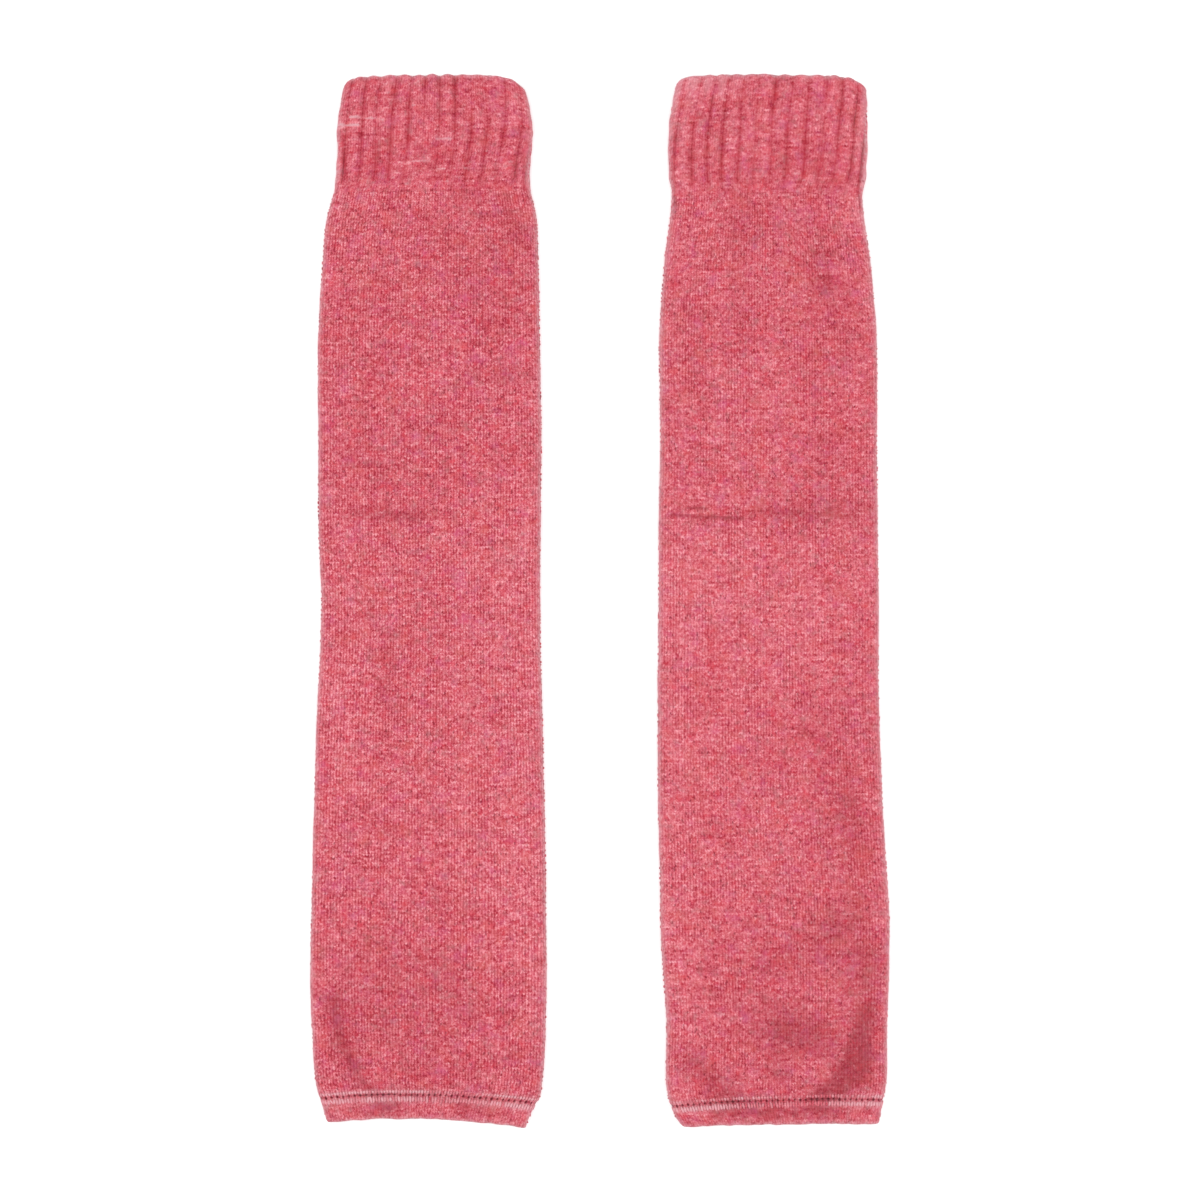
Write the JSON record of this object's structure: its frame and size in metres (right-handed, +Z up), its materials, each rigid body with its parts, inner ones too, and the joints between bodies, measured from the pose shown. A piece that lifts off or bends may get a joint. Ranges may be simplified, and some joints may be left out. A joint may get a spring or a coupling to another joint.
{
  "type": "pair of leg warmers",
  "caption": "Pair of knee-length knitted leg warmers lying flat side by side, each an open tube with a ribbed upper cuff and a turned, stitched lower hem.",
  "frame": {"origin": "centre of the pair's bounding box, on the surface it rests on", "axes": "+Y along both tubes, from the hems to the ribbed cuffs; +X from the left leg warmer to the right one; +Z up, out of the surface"},
  "size_m": [0.2314, 0.4216, 0.0057],
  "materials": {
    "rib_knit": "matte melange 3 and 3 rib knit, coral red with pale grey-pink flecks",
    "jersey_knit": "matte melange jersey knit, coral red with pale grey-pink flecks",
    "hem_knit": "matte melange jersey knit, doubled and chain stitched, with a paler stitch line"
  },
  "bodies": {
    "root": {"left_rib_cuff": "rib_knit", "left_leg_tube": "jersey_knit", "left_hem_band": "hem_knit", "right_rib_cuff": "rib_knit", "right_leg_tube": "jersey_knit", "right_hem_band": "hem_knit"}
  },
  "joints": []
}
